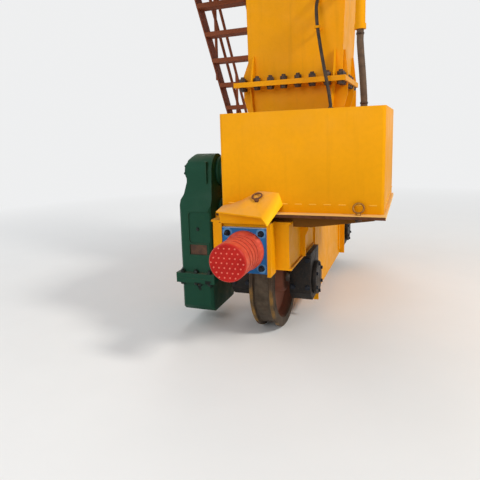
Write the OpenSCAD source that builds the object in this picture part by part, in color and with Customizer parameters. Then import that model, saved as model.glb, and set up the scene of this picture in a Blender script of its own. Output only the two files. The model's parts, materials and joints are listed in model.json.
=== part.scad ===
// Leg foot of a double girder gantry crane: a two wheel rail bogie with its
// buffer and gearbox, the bolted foot of the box leg, the first leg section
// up to its splice flange, and the stair beside it. Millimetres.
// X runs across the rail, Y along it (the buffer end is -Y), Z is up.
// Heights are counted from the top of the rail. The origin is the middle of
// the splice face, where the next leg section is bolted on.

/* [Leg] */
// Height of the splice face above the rail
splice_z = 3500; // [3300:10:4200]
// Distance of the upright left wall of the leg from the middle of the rail
leg_left = 385; // [360:1:400]
// Distance of the right wall of the leg from the middle of the rail at its foot
leg_right = 450; // [400:1:460]
// Depth of the leg along the rail at its foot
leg_d = 780; // [700:2:820]
// How much the other three walls lean outwards per metre of height
leg_taper = 40; // [10:5:60]
// Thickness of the leg plates
leg_t = 12; // [8:1:20]
// Side of the square lower flange of the leg
flange_w = 1000; // [940:10:1100]
// Thickness of each plate of the bolted flange pair
flange_t = 22; // [16:1:40]
// Height of the joint between foot and leg
joint_z = 2008; // [1960:1:2100]
// Side of the square splice flange
splice_w = 1100; // [1080:10:1200]
// Thickness of the splice flange
splice_t = 25; // [16:1:40]
// Diameter of the splice bolt holes
splice_hole_d = 33; // [22:1:39]
// Distance of the splice bolt holes from the edge of the flange
splice_edge = 50; // [40:1:80]

/* [Foot] */
// Width of the foot box under the flange
foot_top_w = 760; // [700:2:790]
// Width of the foot box where it stands on the bogie
foot_w = 584; // [540:2:600]
// Length along the rail of the foot box at the bottom
foot_l = 900; // [800:10:920]
// How far the side plates of the foot stand proud of its front plate
foot_lip = 55; // [30:1:90]

/* [Bogie] */
// Width of the bogie box over its side plates
bogie_w = 560; // [520:2:600]
// Overall length of the bogie box
bogie_l = 3300; // [3000:10:3600]
// Top of the bogie box above the rail
bogie_z = 970; // [940:1:990]
// Underside of the raised ends of the bogie
nose_z = 630; // [600:1:680]
// Underside of the deep middle of the bogie
belly_z = 150; // [110:1:200]
// Distance from an axle to the upright face that its bearing box is bolted on
seat_y = 160; // [150:2:165]
// Thickness of the bogie plates
plate_t = 14; // [8:1:20]
// How far the top plate stands out past the side plates
top_lip = 14; // [0:1:25]

/* [Wheels] */
// Diameter of the wheel tread
tread_d = 800; // [700:5:860]
// Height of the wheel flanges above the tread
flange_h = 28; // [18:1:35]
// Width of the wheel over both flanges
wheel_w = 190; // [160:2:220]
// Width of the groove between the flanges
groove_w = 112; // [80:2:124]
// Diameter of the wheel hub
hub_d = 240; // [200:5:300]
// Thickness of the wheel web
web_t = 46; // [30:1:70]
// Diameter of the axles
axle_d = 110; // [90:1:130]
// Distance between the two axles
axle_base = 2000; // [1980:5:2040]
// Radial running clearance of an axle in its bearing
run_gap = 0.05; // [0.02:0.01:0.09]

/* [Bearing boxes] */
// Length and height of a bearing box below and beside its seat
box_side = 330; // [300:2:340]
// Width of a bearing box across the rail
box_w = 170; // [150:2:190]
// Diameter of the bearing cover
cover_d = 270; // [250:2:290]
// How far the bearing cover stands out of its box
cover_h = 34; // [20:1:50]
// Thickness of the seat plates in the corners of the bogie
seat_t = 20; // [12:1:30]

/* [Buffer] */
// Diameter of the buffer
buffer_d = 250; // [220:5:280]
// Length of the buffer in front of its plate
buffer_l = 340; // [260:5:400]
// Height of the buffer axis above the rail
buffer_z = 790; // [780:1:800]
// Diameter of the round knobs on the face of the buffer
knob_d = 15; // [10:1:18]
// Side of the square buffer plate
buffer_plate_w = 320; // [300:2:330]
// Thickness of the buffer plate
buffer_plate_t = 25; // [15:1:30]
// How far the buffer plate stands ahead of the bogie end
buffer_out = 130; // [110:2:180]

/* [Motor hood] */
// Width of the motor hood
hood_w = 1092; // [1040:2:1110]
// Gap between the motor hood and the foot of the leg
hood_gap = 110; // [90:2:120]
// Height of the motor hood
hood_h = 678; // [600:2:720]
// Left face of the motor hood across the rail
hood_x = -205; // [-215:1:-190]
// Radius of the upright corners of the motor hood
hood_r = 22; // [10:1:30]
// Sheet thickness of the motor hood
hood_t = 5; // [3:1:8]
// Thickness of the platform under the hood
platform_t = 22; // [15:1:35]
// Underside of the platform above the rail
platform_z = 1018; // [1010:1:1030]
// How far the platform stands out in front of the hood
ledge = 80; // [60:5:100]

/* [Gearbox] */
// Width of the gearbox across the rail
gear_w = 300; // [280:2:320]
// Inner face of the gearbox across the rail
gear_x = -450; // [-470:2:-444]
// Length of the gearbox along the rail
gear_l = 540; // [480:5:560]
// Underside of the gearbox above the rail
gear_low = 100; // [70:5:140]
// Top of the gearbox above the rail
gear_top = 1420; // [1400:5:1460]
// Thickness of each half of the split flange
split_t = 42; // [25:1:50]
// Height of the input shaft above the rail
input_z = 1270; // [1250:5:1280]

/* [Ground beam] */
// Width of the ground beam
beam_w = 560; // [500:10:600]
// Top of the ground beam above the rail
beam_top = 1930; // [1850:10:1960]
// Depth of the ground beam
beam_h = 660; // [560:10:760]
// Distance of the beam end flange from the middle of the leg
beam_y = 1500; // [1400:10:1700]

/* [Stair] */
// Outside width of the stair
stair_w = 530; // [480:5:560]
// Distance of the inner stringer from the middle of the leg
stair_x = 530; // [520:5:560]
// Rise of each step
rise = 250; // [220:5:280]
// Run of each step
run = 190; // [180:1:205]
// Top of the landing above the rail
landing_z = 3150; // [3050:10:3180]
// Length of the landing along the rail
landing_l = 720; // [600:10:800]
// Depth of the flat bar stringers, square to their slope
string_deep = 150; // [120:5:170]
// Height of the handrail
rail_h = 950; // [900:10:1100]

/* [Hidden] */
$fn = 48;

yellow = [0.89, 0.60, 0.04];
green = [0.09, 0.36, 0.25];
red = [0.82, 0.20, 0.16];
blue = [0.13, 0.38, 0.68];
primer = [0.45, 0.22, 0.14];
steel = [0.36, 0.33, 0.30];
black = [0.12, 0.11, 0.10];
brown = [0.36, 0.26, 0.18];

seat_gap = 0.3;               // pieces that only rest on each other
axle_z = tread_d / 2;
axle_y = axle_base / 2;
side_x = bogie_w / 2;
wheel_r = tread_d / 2 + flange_h;
wheel_room = 22;              // clear space around a wheel
well_y = axle_y - wheel_r - wheel_room;
belly_y = axle_y - seat_y - seat_t;   // half the length of the deep middle
foot_top = joint_z - flange_t;
leg_low = joint_z + flange_t;
leg_high = splice_z - splice_t;
platform_top = platform_z + platform_t;
box_in = side_x - 118;
box_out = box_in + box_w;
hood_back = -foot_l / 2 - hood_gap;
hood_front = -bogie_l / 2;
hood_top = platform_top + hood_h;
plate_y = -bogie_l / 2 - buffer_out;
ledge_y = hood_front - ledge;
eye_d = 16;
ring_r = 33;                  // of the lifting eyes
ring_d = 12;
eye_boss = 14;
eye_x = hood_x + hood_w - 152;
eye_y = (hood_front + ledge_y) / 2;
platform_edge = 14;           // how far the platform shows beside the hood
// Cover plate over the gap between the buffer box and the hood
cap_t = 10;
cap_front_y = plate_y - 65;
cap_back_y = hood_front - seat_gap;
cap_foot = bogie_z + 6 + seat_gap;
// Front and rear edge of its upper side: across the rail, above the platform
cap_low = [[-174, 27], [-120, 22], [-50, 15], [95, 2], [143, -3]];
cap_high = [[-200, 37], [-129, 52], [-51, 80], [71, 144], [212, 134]];
// Underside at station k, from 0 at the front edge to 1 at the rear one
function cap_at(k, v) = let (p = (1 - v) * cap_low[k] + v * cap_high[k])
  [p[0], (1 - v) * cap_front_y + v * cap_back_y, platform_top + p[1] - cap_t];
cap_eye = cap_at(3, 0.6);

leg_slope = leg_taper / 1000;
// Right wall of the leg, and half its depth, at a height above the rail
function leg_half_x(z) = leg_right + leg_slope * (z - leg_low);
function leg_half_y(z) = leg_d / 2 + leg_slope * (z - leg_low);
// Half the width of the foot at a height above the rail
function foot_half(z) = foot_w / 2
  + (foot_top_w - foot_w) / 2 * (z - bogie_z) / (foot_top - bogie_z);
// Middle of the splice flange across the rail
splice_x = (leg_half_x(leg_high) - leg_left) / 2;
face_y = leg_d / 2 - foot_lip;
rib_y = 230;
rib_t = 14;
rib_toe = 90;                 // upright end of the ribs under the flange
rib_l = 640;                  // tapered ribs under the flange overhang
nose_rib_y = 1285;

// Conduit, hose and cable
pipe_d = 75;
pipe_x = 630;
pipe_y = -660;
pipe_low = 2350;
hose_d = 55;
hose_gland_h = 34;
hose_route = [[664, -640, hood_top + hose_gland_h], [664, -640, hood_top + 90],
  [652, -646, 1990], [636, -656, 2180], [pipe_x, pipe_y, pipe_low - 90],
  [pipe_x, pipe_y, pipe_low - seat_gap]];
cable_d = 28;
gland_h = 26;
cable_route = [[392, -600, hood_top + gland_h], [392, -600, hood_top + 70],
  [372, -592, 1910], [336, -572, 2080], [300, -545, 2260], [272, -528, 2430],
  [263, -526, 2530], [260, -512, 2590], [260, -491, 2629], [260, -463, 2657]];
clip_at = [272, -528, 2430];

// Moves what is drawn with heights above the rail to the splice face
module from_rail() {
  translate([-splice_x, 0, -splice_z]) children();
}

// A block between two corners
module block(low, high) {
  translate(low) cube(high - low);
}

// An outline drawn as seen from the side (Y, Z), t thick from x on
module side_view(x, t) {
  translate([x, 0, 0]) rotate([90, 0, 90]) linear_extrude(t) children();
}

// An outline drawn as seen from the front (X, Z), t thick from y on
module front_view(y, t) {
  translate([0, y + t, 0]) rotate([90, 0, 0]) linear_extrude(t) children();
}

// A round bar along X
module bar_x(x0, x1, d, y, z) {
  translate([x0, y, z]) rotate([0, 90, 0]) cylinder(d = d, h = x1 - x0);
}

module both_x() {
  children();
  mirror([1, 0, 0]) children();
}

module both_y() {
  children();
  mirror([0, 1, 0]) children();
}

// Outline of the bogie side: raised ends and a deep middle
module bogie_outline() {
  high = bogie_z - plate_t;
  polygon([
    [-bogie_l / 2, high], [-bogie_l / 2, nose_z + plate_t],
    [-belly_y, nose_z + plate_t], [-belly_y, belly_z + 60],
    [-belly_y + 60, belly_z], [belly_y - 60, belly_z],
    [belly_y, belly_z + 60], [belly_y, nose_z + plate_t],
    [bogie_l / 2, nose_z + plate_t], [bogie_l / 2, high]]);
}

// Side plate of the bogie with its upright ribs, as on the right
module bogie_side() {
  high = bogie_z - plate_t;
  low = nose_z + plate_t;
  head = 110;                 // depth of the wider head of a nose rib
  union() {
    side_view(side_x - plate_t, plate_t) bogie_outline();
    both_y() {
      front_view(-nose_rib_y, rib_t)
        polygon([[side_x - 1, low], [side_x + 36, low], [side_x + 36, high - head - 40],
          [side_x + 58, high - head], [side_x + 58, high], [side_x - 1, high]]);
      block([side_x - 1, -belly_y + 50, belly_z + 60],
        [side_x + rib_t - 1, -belly_y + 130, high - 120]);
    }
  }
}

module bogie_side_left() {
  color(yellow) from_rail() mirror([1, 0, 0]) bogie_side();
}

module bogie_side_right() {
  color(yellow) from_rail() bogie_side();
}

module bogie_top_plate() {
  color(yellow) from_rail()
    block([-side_x - top_lip, -bogie_l / 2, bogie_z - plate_t],
      [side_x + top_lip, bogie_l / 2, bogie_z]);
}

// Bottom plates of the two raised ends, slotted for the wheels, and of the
// deep middle between the wheels
module bogie_bottom_plates() {
  in_x = side_x - plate_t;
  slot_x = wheel_w / 2 + 30;
  color(yellow) from_rail() {
    both_y() difference() {
      block([-side_x - top_lip, -bogie_l / 2, nose_z],
        [side_x + top_lip, -belly_y, nose_z + plate_t]);
      block([-slot_x, -axle_y - wheel_r - wheel_room, nose_z - 1],
        [slot_x, 0, nose_z + plate_t + 1]);
    }
    block([-in_x, -well_y, belly_z], [in_x, well_y, belly_z + plate_t]);
  }
}

// End plates of the raised ends, and the plates that close the deep middle
// behind the wheels
module bogie_end_plates() {
  in_x = side_x - plate_t;
  color(yellow) from_rail() both_y() {
    block([-in_x, -bogie_l / 2, nose_z + plate_t],
      [in_x, -bogie_l / 2 + plate_t, bogie_z - plate_t]);
    block([-in_x, -well_y, belly_z + plate_t],
      [in_x, -well_y + plate_t, bogie_z - plate_t]);
  }
}

// Upright seats in the four corners, on which the bearing boxes are bolted
module bearing_seats() {
  color(yellow) from_rail() both_x() both_y()
    block([box_in, -belly_y - seat_t, belly_z], [box_out, -belly_y, nose_z]);
}

module buffer_box() {
  half = buffer_plate_w / 2;
  back = plate_y + buffer_plate_t;
  cheek_x = half + 24;
  color(yellow) from_rail() {
    both_x() block([half + seat_gap, plate_y - 4, buffer_z - half - 18],
      [cheek_x, -bogie_l / 2, bogie_z + 6]);
    block([-half, back, buffer_z - half + 6], [half, -bogie_l / 2, buffer_z - half + 18]);
    block([-half, back, bogie_z - plate_t], [half, -bogie_l / 2, bogie_z]);
    block([-half, back, buffer_z - half + 18], [half, back + 16, bogie_z - plate_t]);
  }
}

module buffer_plate() {
  half = buffer_plate_w / 2;
  color(blue) from_rail()
    block([-half, plate_y, buffer_z - half], [half, plate_y + buffer_plate_t, buffer_z + half]);
}

// Moulded buffer: flared base, ring grooves, a rounded front edge and knobs
module buffer() {
  r = buffer_d / 2;
  groove = 7;
  pitch = 2.4 * knob_d;
  color(red) from_rail()
    translate([0, plate_y, buffer_z]) rotate([90, 0, 0]) {
      rotate_extrude() difference() {
        polygon([[0, 0], [r + 14, 0], [r + 14, 22], [r + 2, 44], [r, buffer_l - 10],
          [r - 8, buffer_l], [0, buffer_l]]);
        for (k = [1:4])
          translate([r + 1, 44 + k * (buffer_l - 70) / 5]) circle(r = groove, $fn = 16);
      }
      for (j = [-4:4], i = [-4:4]) {
        at = pitch * [i + abs(j % 2) / 2, j * sin(60)];
        if (norm(at) < r - 8 - knob_d / 2)
          translate([at[0], at[1], buffer_l - 1])
            cylinder(d1 = knob_d, d2 = knob_d / 2, h = 7, $fn = 16);
      }
    }
}

// Strip of sheet between two rows of points, with its thickness as a vector
module sheet(low, high, t) {
  n = len(low);
  polyhedron(
    points = concat(low, high, [for (p = low) p + t], [for (p = high) p + t]),
    faces = concat(
      [[0, n, 3 * n, 2 * n], [n - 1, 3 * n - 1, 4 * n - 1, 2 * n - 1]],
      [for (k = [0:n - 2], face = [[0, 1, n + 1], [0, n + 1, n],
          [2 * n, 3 * n, 3 * n + 1], [2 * n, 3 * n + 1, 2 * n + 1],
          [0, 2 * n, 2 * n + 1, 1], [n, n + 1, 3 * n + 1, 3 * n]])
        [for (i = face) i + k]]));
}

// Warped cover plate over the gap between the buffer box and the hood, with
// its right side folded down and a front plate set back under it
module buffer_cap() {
  last = len(cap_low) - 1;
  up = [0, 0, cap_t];
  kink = [240, cap_back_y, platform_top + 52];
  clear_z = platform_top + 5;
  tip = [184, cap_front_y,
    kink[2] - (kink[2] - clear_z) * (cap_back_y - cap_front_y) / (cap_back_y - ledge_y)];
  plate_v = (plate_y - cap_t - cap_front_y) / (cap_back_y - cap_front_y);
  color(yellow) from_rail() difference() {
    union() {
      sheet([for (k = [0:last]) cap_at(k, 0)], [for (k = [0:last]) cap_at(k, 1)], up);
      sheet([tip, cap_at(last, 0) + up], [kink, cap_at(last, 1) + up], [-cap_t, 0, 0]);
      front_view(plate_y - cap_t, cap_t)
        polygon(concat([[-164, cap_foot], [160, cap_foot]],
          [for (k = [last:-1:0]) let (p = cap_at(k, plate_v)) [p[0], p[2] + cap_t / 2]]));
    }
    translate([cap_eye[0], cap_eye[1], bogie_z])
      cylinder(d = eye_d + 2 * seat_gap, h = bogie_z);
  }
}

// Wheel with two flanges, turned in profile about its own axis
module wheel_shape() {
  r = tread_d / 2;
  half = wheel_w / 2;
  g = groove_w / 2;
  rim = r - 52;
  hub_r = hub_d / 2;
  rotate([0, 90, 0]) rotate_extrude($fn = 96)
    polygon([[axle_d / 2 + 0.1, -half - 8], [hub_r, -half - 8], [hub_r + 12, -half],
      [hub_r + 30, -web_t / 2], [rim - 24, -web_t / 2], [rim, -half + 10], [rim + 8, -half],
      [r + flange_h - 10, -half], [r + flange_h, -half + 8], [r + flange_h, -g - 12],
      [r + 4, -g - 2], [r, -g + 4], [r, g - 4], [r + 4, g + 2],
      [r + flange_h, g + 12], [r + flange_h, half - 8], [r + flange_h - 10, half],
      [rim + 8, half], [rim, half - 10], [rim - 24, web_t / 2], [hub_r + 30, web_t / 2],
      [hub_r + 12, half], [hub_r, half + 8], [axle_d / 2 + 0.1, half + 8]]);
}

module wheel_front() {
  color(steel) from_rail() translate([0, -axle_y, axle_z]) wheel_shape();
}

module wheel_rear() {
  color(steel) from_rail() translate([0, axle_y, axle_z]) wheel_shape();
}

// The driven axle reaches on into the gearbox
module axle_front() {
  color(steel) from_rail() bar_x(gear_x - gear_w + 60, side_x + 50, axle_d, -axle_y, axle_z);
}

module axle_rear() {
  color(steel) from_rail() bar_x(-side_x - 50, side_x + 50, axle_d, axle_y, axle_z);
}

// Block with a chamfered lower corner that hangs in the corner of the bogie
module bearing_box(y_sign) {
  near_y = axle_y - seat_y;
  far_y = axle_y + box_side / 2;
  low = axle_z - box_side / 2;
  top = nose_z;
  difference() {
    side_view(box_in, box_w)
      polygon([for (p = [[near_y, top], [far_y, top], [far_y, low + 70], [far_y - 70, low],
        [near_y, low]]) [y_sign * p[0], p[1]]]);
    bar_x(box_in - 1, box_out + 1, axle_d + 2 * run_gap, y_sign * axle_y, axle_z);
  }
}

module bearing_boxes_front() {
  color(black) from_rail() both_x() bearing_box(-1);
}

module bearing_boxes_rear() {
  color(black) from_rail() both_x() bearing_box(1);
}

// Round cover over the end of an axle, closed
module closed_cover(y) {
  difference() {
    bar_x(box_out, box_out + cover_h, cover_d, y, axle_z);
    bar_x(box_out - 1, box_out + cover_h - 8, axle_d + 12, y, axle_z);
  }
}

// Round cover with a hole for an axle that passes through
module open_cover(y) {
  difference() {
    mirror([1, 0, 0]) bar_x(box_out, box_out + cover_h, cover_d, y, axle_z);
    mirror([1, 0, 0]) bar_x(box_out - 1, box_out + cover_h + 1, axle_d + 2, y, axle_z);
  }
}

module bearing_covers_front() {
  color(black) from_rail() {
    closed_cover(-axle_y);
    open_cover(-axle_y);
  }
}

module bearing_covers_rear() {
  color(black) from_rail() both_x() closed_cover(axle_y);
}

gear_out = gear_x - gear_w;
gear_y0 = -axle_y - gear_l / 2;
gear_y1 = -axle_y + gear_l / 2;
shoulder = 1055;
neck_x = gear_out + 68;       // outer wall above the shoulder, flat for the input cap
shaft_z = [730, 960];         // the two inner shafts
shaft_cap_d = [210, 160];
input_cap_d = 150;
cap_h = 14;

// One half of the bolted split flange, from z0 up
module split_flange(z0) {
  block([gear_out - 20, gear_y0 - 45, z0], [gear_x + 25, gear_y1 + 45, z0 + split_t]);
}

// Bore of the gearbox in which the driven axle turns
module gear_bore() {
  bar_x(gear_out + 50, gear_x + 30, axle_d + 2 * run_gap, -axle_y, axle_z);
}

// Plan of the housing with chamfered upright edges
module gear_plan(left, right, c) {
  polygon([[left + c, gear_y0 - 1], [right - c, gear_y0 - 1], [right, gear_y0 + c - 1],
    [right, gear_y1 - c], [right - c, gear_y1 + 1], [left + c, gear_y1 + 1],
    [left, gear_y1 - c], [left, gear_y0 + c - 1]]);
}

// Lower half of the gearbox, with half of the bolted split flange
module gearbox_lower() {
  color(green) from_rail() difference() {
    union() {
      intersection() {
        side_view(gear_out, gear_w)
          polygon([[gear_y0 + 50, gear_low], [gear_y1 - 50, gear_low],
            [gear_y1, gear_low + 50], [gear_y1, axle_z - split_t],
            [gear_y0, axle_z - split_t], [gear_y0, gear_low + 50]]);
        linear_extrude(axle_z) gear_plan(gear_out + 10, gear_x - 10, 22);
      }
      split_flange(axle_z - split_t);
    }
    gear_bore();
  }
}

// Flat rectangle with round corners
module rounded(w, h, r) {
  translate([r, 0]) square([w - 2 * r, h]);
  translate([0, r]) square([w, h - 2 * r]);
  for (x = [r, w - r], y = [r, h - r]) translate([x, y]) circle(r = r);
}

// Upper housing: narrower above the shoulder, with a rounded top, a sunk
// panel and an inspection window in its front, and a rib up the neck
module gearbox_upper() {
  low = axle_z + split_t;
  panel_x = gear_out + 95;
  color(green) from_rail() difference() {
    union() {
      split_flange(axle_z);
      intersection() {
        side_view(gear_out - 1, gear_w + 2)
          union() {
            polygon([[gear_y0, low], [gear_y1, low], [gear_y1, shoulder - 90],
              [gear_y1 - 45, shoulder], [gear_y1 - 60, input_z], [gear_y0 + 60, input_z],
              [gear_y0 + 45, shoulder], [gear_y0, shoulder - 90]]);
            translate([-axle_y - 60, gear_top - 150]) circle(r = 150);
            translate([-axle_y + 70, gear_top - 175]) circle(r = 140);
          }
        front_view(gear_y0 - 1, gear_l + 2)
          polygon([[gear_x - 10, low], [gear_x - 10, gear_top],
            [neck_x + 42, gear_top], [neck_x, gear_top - 50],
            [neck_x, input_z - input_cap_d / 2], [neck_x - 28, shoulder + 40],
            [gear_out + 10, shoulder - 5], [gear_out + 10, low]]);
        linear_extrude(gear_top) gear_plan(gear_out + 10, gear_x - 10, 22);
      }
      front_view(gear_y0 + 34, 40)
        polygon([[gear_x - 56, shoulder + 130], [gear_x - 44, shoulder + 130],
          [gear_x - 44, gear_top - 60], [gear_x - 56, gear_top - 60]]);
    }
    gear_bore();
    translate([panel_x, 0, shoulder - 365])
      front_view(gear_y0 - 1, 11) rounded(gear_w - 110, 265, 30);
    translate([panel_x, 0, low + 150])
      front_view(gear_y0 - 1, 15) rounded(gear_w - 130, 88, 8);
  }
}

// Round bearing caps of the two inner shafts and of the input shaft
module gearbox_caps() {
  color(green) from_rail() {
    for (k = [0, 1]) {
      bar_x(gear_out - cap_h, gear_out + 10, shaft_cap_d[k], -axle_y, shaft_z[k]);
      bar_x(gear_x - 10, gear_x + cap_h, shaft_cap_d[k], -axle_y, shaft_z[k]);
    }
    bar_x(gear_out - cap_h, neck_x, input_cap_d, -axle_y, input_z);
  }
}

// Arm that holds the gearbox against turning, bolted to the bogie side
module torque_bracket() {
  high = bogie_z - 40;
  low = high - 90;
  color(yellow) from_rail() translate([0, -axle_y, 0]) both_y()
    block([gear_x - 10, 120, low], [-side_x, 150, high]);
}

module bell_housing() {
  color(green) from_rail()
    translate([gear_x - 10, -axle_y, input_z]) rotate([0, 90, 0])
      rotate_extrude() polygon([[0, 0], [125, 0], [125, 20], [100, 34],
        [100, hood_x - gear_x - 20], [125, hood_x - gear_x - 8],
        [125, hood_x - gear_x + 10], [0, hood_x - gear_x + 10]]);
}

// Sheet hood, open below, with the glands of the hose and of the cable
module motor_hood() {
  hose = hose_route[0];
  cable = cable_route[0];
  color(yellow) from_rail() union() {
    difference() {
      translate([hood_x, hood_front, platform_top])
        linear_extrude(hood_h) rounded(hood_w, hood_back - hood_front, hood_r);
      translate([hood_x + hood_t, hood_front + hood_t, platform_top - 1])
        linear_extrude(hood_h + 1 - hood_t)
          rounded(hood_w - 2 * hood_t, hood_back - hood_front - 2 * hood_t, hood_r - hood_t);
    }
    translate([hose[0], hose[1], hood_top - 1])
      cylinder(d = hose_d + 28, h = hose_gland_h + 1 - seat_gap);
    translate([cable[0], cable[1], hood_top - 1])
      cylinder(d = cable_d + 18, h = gland_h + 1 - seat_gap);
  }
}

module platform_plate() {
  color(brown) from_rail() difference() {
    block([hood_x - platform_edge, ledge_y, platform_z],
      [hood_x + hood_w + platform_edge, hood_back, platform_top]);
    translate([eye_x, eye_y, platform_z - 1])
      cylinder(d = eye_d + 2 * seat_gap, h = platform_t + 2);
  }
}

// Cross bars between bogie and platform, with gussets under the overhang
module platform_supports() {
  reach = hood_x + hood_w - 60;
  color(yellow) from_rail()
    for (y = [hood_front + 60, -axle_y - 60, hood_back - 90])
      front_view(y, 40)
        polygon([[hood_x, bogie_z], [hood_x, platform_z], [reach, platform_z],
          [reach, platform_z - 30], [side_x + top_lip + 120, bogie_z - 40],
          [side_x + top_lip + seat_gap, bogie_z - 40], [side_x + top_lip + seat_gap, bogie_z]]);
}

// Ring held at its lower edge by a boss, tipped over from upright by lean
module eye_ring(turn, lean) {
  union() {
    rotate([0, 0, turn]) rotate([0, -lean, 0]) translate([0, 0, ring_r]) rotate([0, 90, 0])
      rotate_extrude() translate([ring_r, 0]) circle(d = ring_d, $fn = 20);
    rotate([0, 0, turn]) rotate([90, 0, 0]) cylinder(r = eye_boss, h = 20, center = true);
  }
}

// Lifting eyes with their nuts below: one through the front of the platform,
// one through the cover plate
module eye_bolt() {
  nut_h = 14;
  color(brown) from_rail()
    for (e = [[[eye_x, eye_y, platform_top + eye_boss + seat_gap], platform_z, -84, 26],
        [cap_eye + [0, 0, cap_t + 24], cap_eye[2] - nut_h, -70, 30]])
      union() {
        translate(e[0]) eye_ring(e[2], e[3]);
        translate([e[0][0], e[0][1], e[1] - 34]) {
          cylinder(d = eye_d, h = e[0][2] - e[1] + 34);
          translate([0, 0, 34 - nut_h]) cylinder(d = 30, h = nut_h, $fn = 6);
        }
      }
}

// Side of the foot box: straight at the top, flared towards the bogie
module foot_side_outline() {
  half = leg_d / 2;
  low = foot_l / 2;
  polygon([[-half, foot_top], [-half - 8, foot_top - 320], [-low, foot_top - 620],
    [-low, bogie_z], [low, bogie_z], [low, foot_top - 620], [half + 8, foot_top - 320],
    [half, foot_top]]);
}

module foot_side_plates() {
  lean = atan((foot_top_w - foot_w) / 2 / (foot_top - bogie_z));
  color(yellow) from_rail() both_x() intersection() {
    translate([foot_w / 2, 0, bogie_z]) rotate([0, lean, 0])
      translate([-leg_t, -foot_l, -foot_l]) cube([leg_t, 2 * foot_l, 2 * foot_top]);
    side_view(0, foot_top_w) foot_side_outline();
  }
}

// Front and rear plates of the foot, set back behind the side plates
module foot_face_plates() {
  low_half = foot_w / 2 - leg_t - 1;
  top_half = foot_top_w / 2 - leg_t - 1;
  color(yellow) from_rail() both_y()
    front_view(-face_y, leg_t)
      polygon([[-low_half, bogie_z], [low_half, bogie_z], [top_half, foot_top],
        [-top_half, foot_top]]);
}

module foot_flange() {
  half = flange_w / 2;
  color(yellow) from_rail() block([-half, -half, foot_top], [half, half, joint_z]);
}

module leg_flange() {
  half = flange_w / 2;
  color(yellow) from_rail() block([-half, -half, joint_z], [half, half, leg_low]);
}

// A leaning wall seen edge on, with its outer face d from the middle at its foot
module wall_edge(d) {
  top = d + leg_slope * (leg_high - leg_low);
  polygon([[d - leg_t, leg_low], [d, leg_low], [top, leg_high], [top - leg_t, leg_high]]);
}

// A wall seen square on, between a left and a right edge that may lean out
module wall_face(left, right, left_slope) {
  high = leg_high - leg_low;
  polygon([[-left, leg_low], [right, leg_low], [right + leg_slope * high, leg_high],
    [-left - left_slope * high, leg_high]]);
}

// Front and rear walls, and the angled boss where the cable enters the front one
module leg_face_plates() {
  color(yellow) from_rail() {
    both_y() intersection() {
      side_view(-splice_w, 2 * splice_w) wall_edge(leg_d / 2);
      front_view(0, splice_w) wall_face(leg_left, leg_right, 0);
    }
    cable_boss();
  }
}

module cable_boss() {
  mouth = cable_route[len(cable_route) - 1];
  intersection() {
    translate(mouth) rotate([-45, 0, 0]) translate([0, 0, seat_gap])
      cylinder(d = cable_d + 20, h = 90);
    side_view(mouth[0] - 40, 80)
      polygon([[-splice_w, leg_low], [-leg_half_y(leg_low) + 2, leg_low],
        [-leg_half_y(leg_high) + 2, leg_high], [-splice_w, leg_high]]);
  }
}

// The right wall leans out, the left one is upright
module leg_side_plates() {
  in = leg_d / 2 - leg_t - 0.9;
  color(yellow) from_rail() {
    side_view(-leg_left, leg_t) wall_face(in, in, leg_slope);
    intersection() {
      side_view(0, splice_w) wall_face(in, in, leg_slope);
      front_view(-splice_w, 2 * splice_w) wall_edge(leg_right);
    }
  }
}

// Triangular gusset standing on the flange, drawn against a wall at y = 0
module gusset(h, l, t, slope) {
  lean = h * slope + 1;
  rotate([90, 0, -90]) linear_extrude(t, center = true)
    polygon([[1, 0], [l, 0], [l, 14], [14 + lean, h], [lean, h]]);
}

// Gussets on the flange, and tapered ribs that carry its overhang from below
module flange_gussets() {
  h = 230;
  edge = flange_w / 2 - 12;
  low_z = foot_top - rib_l;
  color(yellow) from_rail() {
    translate([0, 0, leg_low]) {
      both_y() for (x = [-leg_left + 55, leg_right - 50])
        translate([x, -leg_d / 2, 0]) gusset(h, edge - leg_d / 2, rib_t, leg_slope);
      for (y = [-leg_d / 2 + 90, leg_d / 2 - 90]) {
        translate([leg_right, y, 0]) rotate(90)
          gusset(h, edge - leg_right + 10, rib_t, leg_slope);
        translate([-leg_left, y, 0]) rotate(-90) gusset(h, edge - leg_left, rib_t, 0);
      }
    }
    both_x() for (y = [-rib_y, rib_y])
      front_view(y - rib_t / 2, rib_t)
        polygon([[foot_half(foot_top) + seat_gap, foot_top], [edge, foot_top],
          [edge, foot_top - rib_toe], [foot_half(low_z) + seat_gap + 12, low_z],
          [foot_half(low_z) + seat_gap, low_z]]);
  }
}

// Closed end plate, its face at the origin, with the bolt holes near its edge
module splice_flange() {
  half = splice_w / 2;
  edge = half - splice_edge;
  pitch = 2 * edge / 5;
  color(yellow) translate([0, 0, -splice_t]) difference() {
    block([-half, -half, 0], [half, half, splice_t]);
    for (k = [0:5], s = [-1, 1]) {
      translate([-edge + k * pitch, s * edge, -1])
        cylinder(d = splice_hole_d, h = splice_t + 2);
      if (k > 0 && k < 5)
        translate([s * edge, -edge + k * pitch, -1])
          cylinder(d = splice_hole_d, h = splice_t + 2);
    }
  }
}

module ground_beam() {
  half = beam_w / 2;
  y0 = face_y + 1;
  y1 = beam_y - flange_t;
  color(yellow) from_rail() difference() {
    block([-half, y0, beam_top - beam_h], [half, y1, beam_top]);
    block([-half + leg_t, y0 - 1, beam_top - beam_h + leg_t],
      [half - leg_t, y1 + 1, beam_top - leg_t]);
  }
}

beam_hole_x = beam_w / 2 + 50;
beam_hole_z = beam_h / 2 + 50;

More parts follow.
